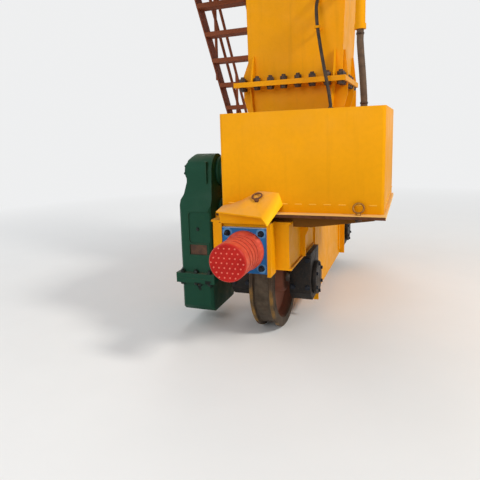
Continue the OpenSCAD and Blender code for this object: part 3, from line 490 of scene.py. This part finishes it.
def dress_nodes():
    """Gives each carried over node its finish."""
    slots = {p["node"]: p["material_slot"] for p in frame["record"]["subparts"]}
    for name, obj in nodes.items():
        obj.data.materials.clear()
        obj.data.materials.append(NODE_FINISH.get(name) or FINISH[slots[name]])


dress_nodes()


# Mesh helpers

def add_piece(name, bm, material, body="root", smooth=35.0):
    """Turns a bmesh into a piece that rides on a body. Edges above smooth degrees stay sharp."""
    mesh = bpy.data.meshes.new(name)
    bm.normal_update()
    bm.to_mesh(mesh)
    bm.free()
    mesh.shade_smooth()
    mesh.set_sharp_from_angle(angle=math.radians(smooth))
    mesh.materials.append(material)
    obj = bpy.data.objects.new(name, mesh)
    bpy.context.scene.collection.objects.link(obj)
    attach(obj, body)
    return obj


def facing(point, axis):
    """A matrix that puts +Z along axis at a point."""
    turn = Vector((0, 0, 1)).rotation_difference(Vector(axis).normalized())
    return Matrix.Translation(point) @ turn.to_matrix().to_4x4()


def circle(sides, twist=0.0):
    """Cosine and sine of evenly spread angles."""
    angles = [twist + 2 * math.pi * k / sides for k in range(sides)]
    return [(math.cos(a), math.sin(a)) for a in angles]


def join_rings(bm, rings):
    """Faces between each ring of vertices and the next."""
    for low, high in zip(rings, rings[1:]):
        for k in range(len(low)):
            n = (k + 1) % len(low)
            bm.faces.new((low[k], low[n], high[n], high[k]))


def closed_tube(bm, rings):
    """A solid through rings of vertices, with a face on each end."""
    join_rings(bm, rings)
    bm.faces.new(list(reversed(rings[0])))
    bm.faces.new(rings[-1])


def turned(bm, profile, sides, place, twist=0.0):
    """Adds a closed turned solid: profile is (radius, height) from its bottom to its top."""
    closed_tube(bm, [[bm.verts.new(place @ Vector((r * c, r * s, z)))
                      for c, s in circle(sides, twist)] for r, z in profile])


def hoop(bm, place, r, d):
    """A ring of round bar about the Z axis of place, with r to the middle of the bar."""
    bar = [(r + d / 2 * c, d / 2 * s) for c, s in circle(12)]
    rings = [[bm.verts.new(place @ Vector((out * c, out * s, up))) for out, up in bar]
             for c, s in circle(40)]
    join_rings(bm, rings + rings[:1])


def hexagon(bm, place, across, height, rng):
    """A bolt head or nut with a chamfered top."""
    r = across / math.sqrt(3)
    turned(bm, ((r, 0), (r, height * 0.86), (r * 0.90, height)), 6, place,
           rng.uniform(0, math.pi))


def bolt(bm, point, axis, size, rng, head=True, stub=0.0):
    """A washer with a head or a nut on a face at point. A nut shows its thread end, which
    stands out by stub."""
    place = facing(point, axis)
    washer_t, head_h, nut_h = 0.16 * size, 0.64 * size, 0.8 * size
    turned(bm, ((size, -0.001), (size, washer_t * 0.7), (size * 0.96, washer_t)), 20, place)
    seat = place @ Matrix.Translation((0, 0, washer_t))
    hexagon(bm, seat, 1.55 * size, head_h if head else nut_h, rng)
    if not head:
        tip = nut_h + (stub or 0.45 * size)
        turned(bm, ((size / 2, 0), (size / 2, tip - 0.05 * size), (size * 0.42, tip)), 14, seat)


def bead(bm, a, b, r=0.005):
    """A weld bead from a to b, rippled, sunk by half into the corner that it fills."""
    a, b = Vector(a), Vector(b)
    length = (b - a).length
    ripple = 0.008
    steps = max(4, int(length / ripple))
    swells = [r * (1.0 if i % 2 else 0.80) for i in range(steps + 1)]
    swells[0] = swells[-1] = 0.35 * r
    profile = [(swell, length * i / steps) for i, swell in enumerate(swells)]
    turned(bm, profile, 7, facing(a, b - a))


def block(bm, low, high):
    """A box between two corners, in metres."""
    made = bmesh.ops.create_cube(bm, size=1.0)["verts"]
    for v in made:
        v.co = (low + high) / 2 + Vector([v.co[i] * (high - low)[i] for i in range(3)])


SHARP = math.radians(40.0)          # edges that turn by more than this are rounded
FLAT = math.radians(1.0)            # faces that turn by less than this are one face
SAME_PLACE = 1e-5


def rounded_copy(node, width, segments):
    """The mesh of a node with its sharp edges rounded."""
    bm = bmesh.new()
    bm.from_mesh(nodes[node].data)
    bmesh.ops.remove_doubles(bm, verts=bm.verts, dist=SAME_PLACE)
    bmesh.ops.dissolve_limit(bm, angle_limit=FLAT, verts=bm.verts, edges=bm.edges)
    edges = [e for e in bm.edges if len(e.link_faces) == 2 and e.calc_face_angle(0.0) > SHARP]
    bmesh.ops.bevel(bm, geom=edges, offset=width, offset_type="OFFSET", segments=segments,
                    profile=0.5, affect="EDGES", clamp_overlap=True)
    bmesh.ops.triangulate(bm, faces=[f for f in bm.faces if len(f.verts) > 4])
    return bm


def round_node(node, name, width, slot, segments=3, material=None):
    """Shows a node with rounded edges in its place."""
    piece = add_piece(name, rounded_copy(node, width, segments), material or FINISH[slot],
                      smooth=32.0)
    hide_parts(node)


def smooth_route(points, parts):
    """Catmull-Rom curve through points, straight at its first and last stretch."""
    route = [points[0]]
    inner = points[1:-1]
    for i in range(len(inner) - 1):
        p0 = inner[max(i - 1, 0)]
        p1, p2 = inner[i], inner[i + 1]
        p3 = inner[min(i + 2, len(inner) - 1)]
        for k in range(parts):
            t = k / parts
            route.append(0.5 * ((2 * p1) + (p2 - p0) * t + (2 * p0 - 5 * p1 + 4 * p2 - p3) * t * t
                                + (3 * p1 - p0 - 3 * p2 + p3) * t * t * t))
    return route + [inner[-1], points[-1]]


def swept(bm, route, radius, sides, wave):
    """A round tube along a route, thinner by wave at every second place."""
    side = Vector((1, 0, 0))
    rings = []
    for i, p in enumerate(route):
        ahead = (route[min(i + 1, len(route) - 1)] - route[max(i - 1, 0)]).normalized()
        side = (side - ahead * side.dot(ahead)).normalized()
        other = ahead.cross(side)
        r = radius - (wave if i % 2 else 0.0)
        rings.append([bm.verts.new(p + r * (c * side + s * other)) for c, s in circle(sides)])
    closed_tube(bm, rings)


# Hose and cable, along the same points as their solids

HOOD_TOP = 1718
HOSE_D = 55
CABLE_D = 28
HOSE = [(664, -640, HOOD_TOP + 34), (664, -640, HOOD_TOP + 90), (652, -646, 1990),
        (636, -656, 2180), (630, -660, 2260), (630, -660, 2349.7)]
CABLE = [(392, -600, HOOD_TOP + 26), (392, -600, HOOD_TOP + 70), (372, -592, 1910),
         (336, -572, 2080), (300, -545, 2260), (272, -528, 2430), (263, -526, 2530),
         (260, -512, 2590), (260, -491, 2629), (260, -463, 2657)]
CORD_PARTS = 24           # places on the curve for each stretch between two points
CORD_SIDES = 24


def dressed_cord(name, points, diameter, slot, node, wave=0.0):
    """A cord's piece along its points, in the place of its node."""
    bm = bmesh.new()
    route = smooth_route([at(*p) for p in points], CORD_PARTS)
    swept(bm, route, diameter / 2000, CORD_SIDES, wave)
    piece = add_piece(name, bm, FINISH[slot], smooth=60.0)
    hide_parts(node)


def hose_bands():
    """Worm drive bands at both ends of the hose, and the nut of the cable's gland."""
    band_r, band_t, half, screw_r = 0.0295, 0.0015, 0.008, 0.006
    outside = ((band_r, -half), (band_r + band_t, 0.001 - half),
               (band_r + band_t, half - 0.001), (band_r, half))
    bm = bmesh.new()
    for (x, y, _), z in ((HOSE[0], HOOD_TOP + 62), (HOSE[-1], 2318)):
        place = facing(at(x, y, z), (0, 0, 1))
        turned(bm, outside, 28, place)
        screw = (place @ Matrix.Translation((0.0, -band_r - screw_r, 0))
                 @ Matrix.Rotation(math.pi / 2, 4, "Y"))
        turned(bm, ((screw_r, -0.014), (screw_r, 0.014)), 8, screw)
    x, y, _ = CABLE[0]
    hexagon(bm, facing(at(x, y, HOOD_TOP + 27), (0, 0, 1)), 0.040, 0.018, random.Random(5))
    add_piece("hose_bands", bm, BOLT)


dressed_cord("hose_cover", HOSE, HOSE_D, "hose_rubber", "conduit_hose", wave=0.0012)
dressed_cord("cable_cover", CABLE, CABLE_D, "cable_rubber", "supply_cable")
hose_bands()


# Bolts

def flange_bolts():
    """Bolts of the flange pair between foot and leg: nuts above, heads below."""
    size, stub, edge = 0.036, 0.016, 0.046
    across = [-425, -287, -163, -41, 87, 212, 342, 455]
    along = [-330, -200, -70, 70, 200, 330]
    low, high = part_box("leg_flange")
    middle = (low + high) / 2
    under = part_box("foot_flange")[0].z
    places = [(rail_x + x / 1000, y) for x in across for y in (low.y + edge, high.y - edge)]
    places += [(x, middle.y + y / 1000) for y in along for x in (low.x + edge, high.x - edge)]
    rng = random.Random(11)
    bm = bmesh.new()
    for x, y in places:
        bolt(bm, (x, y, high.z), (0, 0, 1), size, rng, head=False, stub=stub)
        bolt(bm, (x, y, under), (0, 0, -1), size, rng)
    add_piece("flange_bolts", bm, BOLT)


def buffer_bolts():
    """Nuts in the corners of the buffer's plate, each on a long thread end."""
    size, stub = 0.022, 0.022
    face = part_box("buffer_plate")[0].y
    rng = random.Random(12)
    bm = bmesh.new()
    for x, z in plate_bolts_at():
        bolt(bm, (x, face, z), (0, -1, 0), size, rng, head=False, stub=stub)
    add_piece("buffer_bolts", bm, PLATE_BOLT)


def cover_bolts():
    """Six bolts round each bearing cover."""
    size, circle_r = 0.016, 0.112
    rng = random.Random(13)
    bm = bmesh.new()
    for node, axle in (("bearing_covers_front", front_axle), ("bearing_covers_rear", rear_axle)):
        low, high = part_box(node)
        for x, way in ((low.x, -1), (high.x, 1)):
            for c, s in circle(6, math.radians(30)):
                bolt(bm, (x, axle.y + circle_r * c, axle.z + circle_r * s), (way, 0, 0), size, rng)
    add_piece("cover_bolts", bm, PLATE_BOLT)


def seat_bolts():
    """Bolts in the end face of each bearing box, which hold it to its seat."""
    size = 0.022
    columns = (0.188, 0.306)          # from the middle of the rail
    from_bottom, from_top = 0.120, 0.050
    rng = random.Random(14)
    bm = bmesh.new()
    for node, way in (("bearing_boxes_front", -1), ("bearing_boxes_rear", 1)):
        low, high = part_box(node)
        end_y = low.y if way < 0 else high.y
        for side in (-1, 1):
            for dx in columns:
                for z in (low.z + from_bottom, high.z - from_top):
                    bolt(bm, (rail_x + side * dx, end_y, z), (0, way, 0), size, rng)
    add_piece("seat_bolts", bm, PLATE_BOLT)


def gearbox_bolts():
    """Bolts of the split flange and of the round caps, the two plugs in the oil sump, and
    the screw of the panel in the upper half."""
    size, small, cap_size, panel_size = 0.022, 0.014, 0.012, 0.015
    flange_t, edge, thin_edge = 0.042, 0.022, 0.011
    corner, near, far = 0.050, 0.120, 0.270
    caps = ((730, 0.090), (960, 0.066), (1270, 0.062))    # height in rail mm, bolt circle
    low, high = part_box("gearbox_lower")
    places = [(x, y, size) for y in (low.y + edge, high.y - edge)
              for x in (low.x + corner, (low.x + high.x) / 2, high.x - corner)]
    places += [(low.x + thin_edge, y, small)
               for y in (low.y + near, low.y + far, high.y - far, high.y - near)]
    rng = random.Random(15)
    bm = bmesh.new()
    for x, y, d in places:
        bolt(bm, (x, y, high.z + flange_t), (0, 0, 1), d, rng, head=False)
        bolt(bm, (x, y, high.z - flange_t), (0, 0, -1), d, rng)
    face_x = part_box("gearbox_caps")[0].x
    for z, r in caps:
        for c, s in circle(6, math.radians(15)):
            bolt(bm, (face_x, front_axle.y + r * c, at(0, 0, z).z + r * s), (-1, 0, 0),
                 cap_size, rng)
    sump_y = low.y + 0.045
    for x, z in OIL_PLUGS:
        plug = at(x, 0, z)
        bolt(bm, (plug.x, sump_y, plug.z), (0, -1, 0), size, rng)
    bolt(bm, at(-579, -1260, 810), (0, -1, 0), panel_size, rng)
    add_piece("gearbox_bolts", bm, DARK_BOLT)


def gearbox_window():
    """Brown plate in the square recess of the gearbox, as wide and high as in the photo."""
    low, high = at(-653, -1258, 594), at(-505, -1255.5, 678)
    bm = bmesh.new()
    block(bm, low, high)
    add_piece("gearbox_window", bm, rusty_pane())


def stair_bolts():
    """Two bolts at each end of each tread, through the stringers."""
    size, half_pitch = 0.012, 0.045
    wall = 0.012
    steps, run, rise = 10, 0.190, 0.250
    middle_in, below_top = 0.085, 0.022
    low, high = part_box("stair_treads")
    rng = random.Random(16)
    bm = bmesh.new()
    for k in range(steps):
        y = low.y + middle_in + k * run
        z = high.z - k * rise - below_top
        for dy in (-half_pitch, half_pitch):
            bolt(bm, (low.x - wall, y + dy, z), (-1, 0, 0), size, rng)
            bolt(bm, (high.x + wall, y + dy, z), (1, 0, 0), size, rng)
    add_piece("stair_bolts", bm, BOLT)


def torque_arm_nuts():
    """Nuts on the pins of the arm between gearbox and bogie."""
    size, inside = 0.020, 0.045
    low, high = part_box("torque_bracket")
    rng = random.Random(17)
    bm = bmesh.new()
    for y, way in ((low.y, -1), (high.y, 1)):
        for x in (low.x + inside, high.x - inside):
            bolt(bm, (x, y, (low.z + high.z) / 2), (0, way, 0), size, rng, head=False)
    add_piece("bracket_nuts", bm, BOLT)


# Lifting eyes

CAP_EYE = at(80.6, -1728, 1127)
LEDGE_EYE = at(735, -1690, 1040)
UNDER_LEDGE = at(735, -1690, 1018)
EYE_R = 0.033             # to the middle of the bar
EYE_BAR = 0.012


def cover_eye():
    """Left eye, laid down on the sloping cover, with its shank in the cover."""
    along = Vector((-0.10, 0.80, 0.59)).normalized()
    out = Vector((-0.08, -0.596, 0.800)).normalized()
    ring_at = CAP_EYE + 0.013 * out + EYE_R * along
    bm = bmesh.new()
    turned(bm, ((0.015, -0.002), (0.016, 0.010), (0.011, 0.019)), 24, facing(CAP_EYE, out))
    turned(bm, ((0.008, 0.0), (0.008, 0.030)), 16, facing(CAP_EYE, -out))
    hoop(bm, facing(ring_at, out + 0.14 * along), EYE_R, EYE_BAR)
    piece = add_piece("eye_on_cover", bm, FINISH["dark_paint"], smooth=60.0)
    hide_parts("eye_bolt")


def ledge_eye():
    """Right eye, leaning back to the hood, and its nut under the platform."""
    lean = math.radians(26)
    collar_h = 0.014
    out = Vector((0.0, -math.cos(lean), math.sin(lean)))
    along = Vector((0.0, math.sin(lean), math.cos(lean)))
    ring_at = LEDGE_EYE + Vector((0, 0, collar_h)) + EYE_R * along
    bm = bmesh.new()
    turned(bm, ((0.016, 0.0), (0.017, 0.006), (0.011, collar_h)), 24,
           facing(LEDGE_EYE, (0, 0, 1)))
    hoop(bm, facing(ring_at, out), EYE_R, EYE_BAR)
    add_piece("eye_on_ledge", bm, PALE_EYE, smooth=60.0)
    bm = bmesh.new()
    turned(bm, ((0.0225, 0.0), (0.0225, 0.010), (0.019, 0.018), (0.010, 0.023)), 28,
           facing(UNDER_LEDGE, (0, 0, -1)))
    add_piece("eye_nut", bm, BOLT, smooth=50.0)


# Welds

def hood_seam():
    """Stitch welds in a row along the bottom of the hood, over the angle inside it."""
    seam_up, pitch, stitch, corner = 0.058, 0.095, 0.050, 0.050
    low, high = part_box("motor_hood")
    up = low.z + seam_up
    bm = bmesh.new()
    for k in range(int((high.x - low.x - 2 * corner) / pitch) + 1):
        x = low.x + corner + k * pitch
        for y in (low.y, high.y):
            bead(bm, (x, y, up), (x + stitch, y, up))
    for k in range(int((high.y - low.y - 2 * corner) / pitch) + 1):
        y = low.y + corner + k * pitch
        bead(bm, (high.x, y, up), (high.x, y + stitch, up))
    add_piece("hood_stitch_welds", bm, WELD_PAINT, smooth=60.0)


PLATE_T = 0.014


def leg_welds(bm):
    """Leg plates on their flange, up their corners and under the splice flange."""
    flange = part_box("leg_flange")[1].z
    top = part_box("splice_flange")[0].z
    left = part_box("leg_side_plates")[0].x
    right = rail_x + 0.450
    half = 0.390
    lean = 0.040 * (top - flange)
    inner = half - PLATE_T
    for x in (left, right):
        bead(bm, (x, -half, flange), (x, half, flange))
    for y in (-half, half):
        bead(bm, (left, y, flange), (right, y, flange))
    for way in (-1, 1):
        bead(bm, (left, way * inner, flange), (left, way * (inner + lean), top))
        bead(bm, (right, way * inner, flange), (right + lean, way * (inner + lean), top))
        bead(bm, (left, way * (half + lean), top), (right + lean, way * (half + lean), top))
    for x in (left, right + lean):
        bead(bm, (x, -half - lean, top), (x, half + lean, top))


def foot_welds(bm):
    """Foot plates on the bogie's top plate and under the foot's flange."""
    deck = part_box("bogie_top_plate")[1].z
    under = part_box("foot_flange")[0].z
    low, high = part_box("foot_side_plates")
    deck_half, flange_half = 0.292, 0.380
    face_y, flange_y = 0.335, 0.390
    for way in (-1, 1):
        side_x = rail_x + way * deck_half
        bead(bm, (side_x, low.y, deck), (side_x, high.y, deck))
        bead(bm, (rail_x - deck_half + PLATE_T, way * face_y, deck),
             (rail_x + deck_half - PLATE_T, way * face_y, deck))
    for way in (-1, 1):
        side_x = rail_x + way * flange_half
        bead(bm, (side_x, -flange_y, under), (side_x, flange_y, under))
        bead(bm, (rail_x - flange_half + PLATE_T, way * face_y, under),
             (rail_x + flange_half - PLATE_T, way * face_y, under))


def bogie_and_beam_welds(bm):
    """Bogie sides under its top plate, and the ground beam on its end flange."""
    side_out, thin = 0.280, 0.004
    low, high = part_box("bogie_top_plate")
    for way in (-1, 1):
        side_x = rail_x + way * side_out
        bead(bm, (side_x, low.y, low.z), (side_x, high.y, low.z), thin)
    low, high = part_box("ground_beam")
    corners = [(low.x, low.z), (high.x, low.z), (high.x, high.z), (low.x, high.z)]
    for (ax, az), (bx, bz) in zip(corners, corners[1:] + corners[:1]):
        bead(bm, (ax, high.y, az), (bx, high.y, bz))


def structure_welds():
    """The long weld beads of leg, foot, bogie and beam, as one piece."""
    bm = bmesh.new()
    leg_welds(bm)
    foot_welds(bm)
    bogie_and_beam_welds(bm)
    add_piece("weld_beads", bm, FINISH["yellow_paint"], smooth=70.0)


flange_bolts()
buffer_bolts()
cover_bolts()
seat_bolts()
gearbox_bolts()
gearbox_window()
stair_bolts()
torque_arm_nuts()
hood_seam()
cover_eye()
ledge_eye()


# Rounded castings, sheet and mouldings

round_node("gearbox_upper", "gearbox_upper_casting", 0.009, "green_paint")
round_node("gearbox_lower", "gearbox_lower_casting", 0.009, "green_paint")
round_node("gearbox_caps", "gearbox_cap_castings", 0.004, "green_paint")
round_node("bell_housing", "bell_casting", 0.006, "green_paint")
for end in ("front", "rear"):
    round_node(f"bearing_boxes_{end}", f"bearing_box_castings_{end}", 0.008, "black_iron")
for end in ("front", "rear"):
    round_node(f"bearing_covers_{end}", f"bearing_cover_castings_{end}", 0.007, "black_iron")
round_node("motor_hood", "hood_sheet", 0.0024, "yellow_paint", segments=2)
round_node("buffer_cap", "buffer_cap_plate", 0.002, "yellow_paint", segments=2, material=CAP)
round_node("buffer_plate", "buffer_plate_edges", 0.003, "blue_paint", segments=2)
structure_welds()


# Stage and light, in metres from the origin of the part

FLOOR_COLOR = (0.83, 0.825, 0.81)
BACKDROP = (0.86, 0.865, 0.87)
SKY = (0.93, 0.96, 1.0)
SKY_STRENGTH = 0.40
FLOOR_R = 60.0
FLOOR_GAP = 0.002
FADE = (2.5, 9.0)         # the floor turns into the backdrop between these distances
MIDDLE = (0.0, -0.2, -1.8)


def light_path(tree, *outputs):
    """1 where any of the named kinds of ray looks, for a backdrop that gives no light."""
    node = tree.nodes.new("ShaderNodeLightPath")
    total = node.outputs[outputs[0]]
    for name in outputs[1:]:
        most = tree.nodes.new("ShaderNodeMath")
        most.operation = "MAXIMUM"
        tree.links.new(total, most.inputs[0])
        tree.links.new(node.outputs[name], most.inputs[1])
        total = most.outputs[0]
    return total


def make_world():
    """A pale sky that lights the part, seen as a plain backdrop."""
    world = bpy.data.worlds.new("studio")
    bpy.context.scene.world = world
    world.use_nodes = True
    tree = world.node_tree
    tree.nodes.clear()
    light = tree.nodes.new("ShaderNodeBackground")
    light.inputs["Color"].default_value = (*SKY, 1.0)
    light.inputs["Strength"].default_value = SKY_STRENGTH
    seen = tree.nodes.new("ShaderNodeBackground")
    seen.inputs["Color"].default_value = (*BACKDROP, 1.0)
    mix = tree.nodes.new("ShaderNodeMixShader")
    out = tree.nodes.new("ShaderNodeOutputWorld")
    tree.links.new(light_path(tree, "Is Camera Ray", "Is Glossy Ray", "Is Transmission Ray"),
                   mix.inputs[0])
    tree.links.new(light.outputs[0], mix.inputs[1])
    tree.links.new(seen.outputs[0], mix.inputs[2])
    tree.links.new(mix.outputs[0], out.inputs["Surface"])


def floor_finish():
    """Pale matt floor that the camera sees turn into the backdrop further out."""
    s = Shader("floor")
    spot = s.between(s.noise(3.0, 4.0), 0.35, 0.7, 0.0, 0.25)
    s.finish(s.mix(spot, FLOOR_COLOR, scaled(FLOOR_COLOR, 0.95)), 0.85)
    s.bump(s.noise(60.0, 3.0), 0.1, 0.001)
    away = s.tree.nodes.new("ShaderNodeVectorMath")
    away.operation = "LENGTH"
    s.put(away.inputs[0], s.place)
    glow = s.node("ShaderNodeEmission", Color=BACKDROP)
    blend = s.tree.nodes.new("ShaderNodeMixShader")
    s.put(blend.inputs[0], s.times(s.between(away.outputs["Value"], *FADE),
                                   light_path(s.tree, "Is Camera Ray")))
    s.put(blend.inputs[1], s.surface.outputs["BSDF"])
    s.put(blend.inputs[2], glow.outputs[0])
    s.put(s.out.inputs["Surface"], blend.outputs[0])
    return s.material


def make_floor():
    """A wide round floor just under the part."""
    bm = bmesh.new()
    bmesh.ops.create_circle(bm, cap_ends=True, segments=96, radius=FLOOR_R)
    mesh = bpy.data.meshes.new("floor")
    bm.to_mesh(mesh)
    bm.free()
    mesh.materials.append(floor_finish())
    floor = bpy.data.objects.new("floor", mesh)
    floor.location = (0, 0, cad_box[0][2] - FLOOR_GAP)
    bpy.context.scene.collection.objects.link(floor)


def area_light(name, place, size, power, color=(1, 1, 1)):
    """A square lamp that looks at the middle of the part."""
    data = bpy.data.lights.new(name, "AREA")
    data.shape = "SQUARE"
    data.size = size
    data.energy = power
    data.color = color
    light = bpy.data.objects.new(name, data)
    light.matrix_world = facing(Vector(place), Vector(place) - Vector(MIDDLE))
    bpy.context.scene.collection.objects.link(light)


make_world()
make_floor()
area_light("key", (8.6, -3.4, 4.4), 1.8, 740.0, (1.0, 0.97, 0.92))
area_light("front", (-1.5, -9.5, 1.0), 5.0, 310.0, (0.96, 0.98, 1.0))
area_light("left", (-8.0, -1.0, 3.0), 5.0, 120.0, (0.92, 0.96, 1.0))
area_light("back", (-3.0, 7.5, 4.0), 4.0, 280.0)
bpy.context.scene.view_settings.view_transform = "Standard"
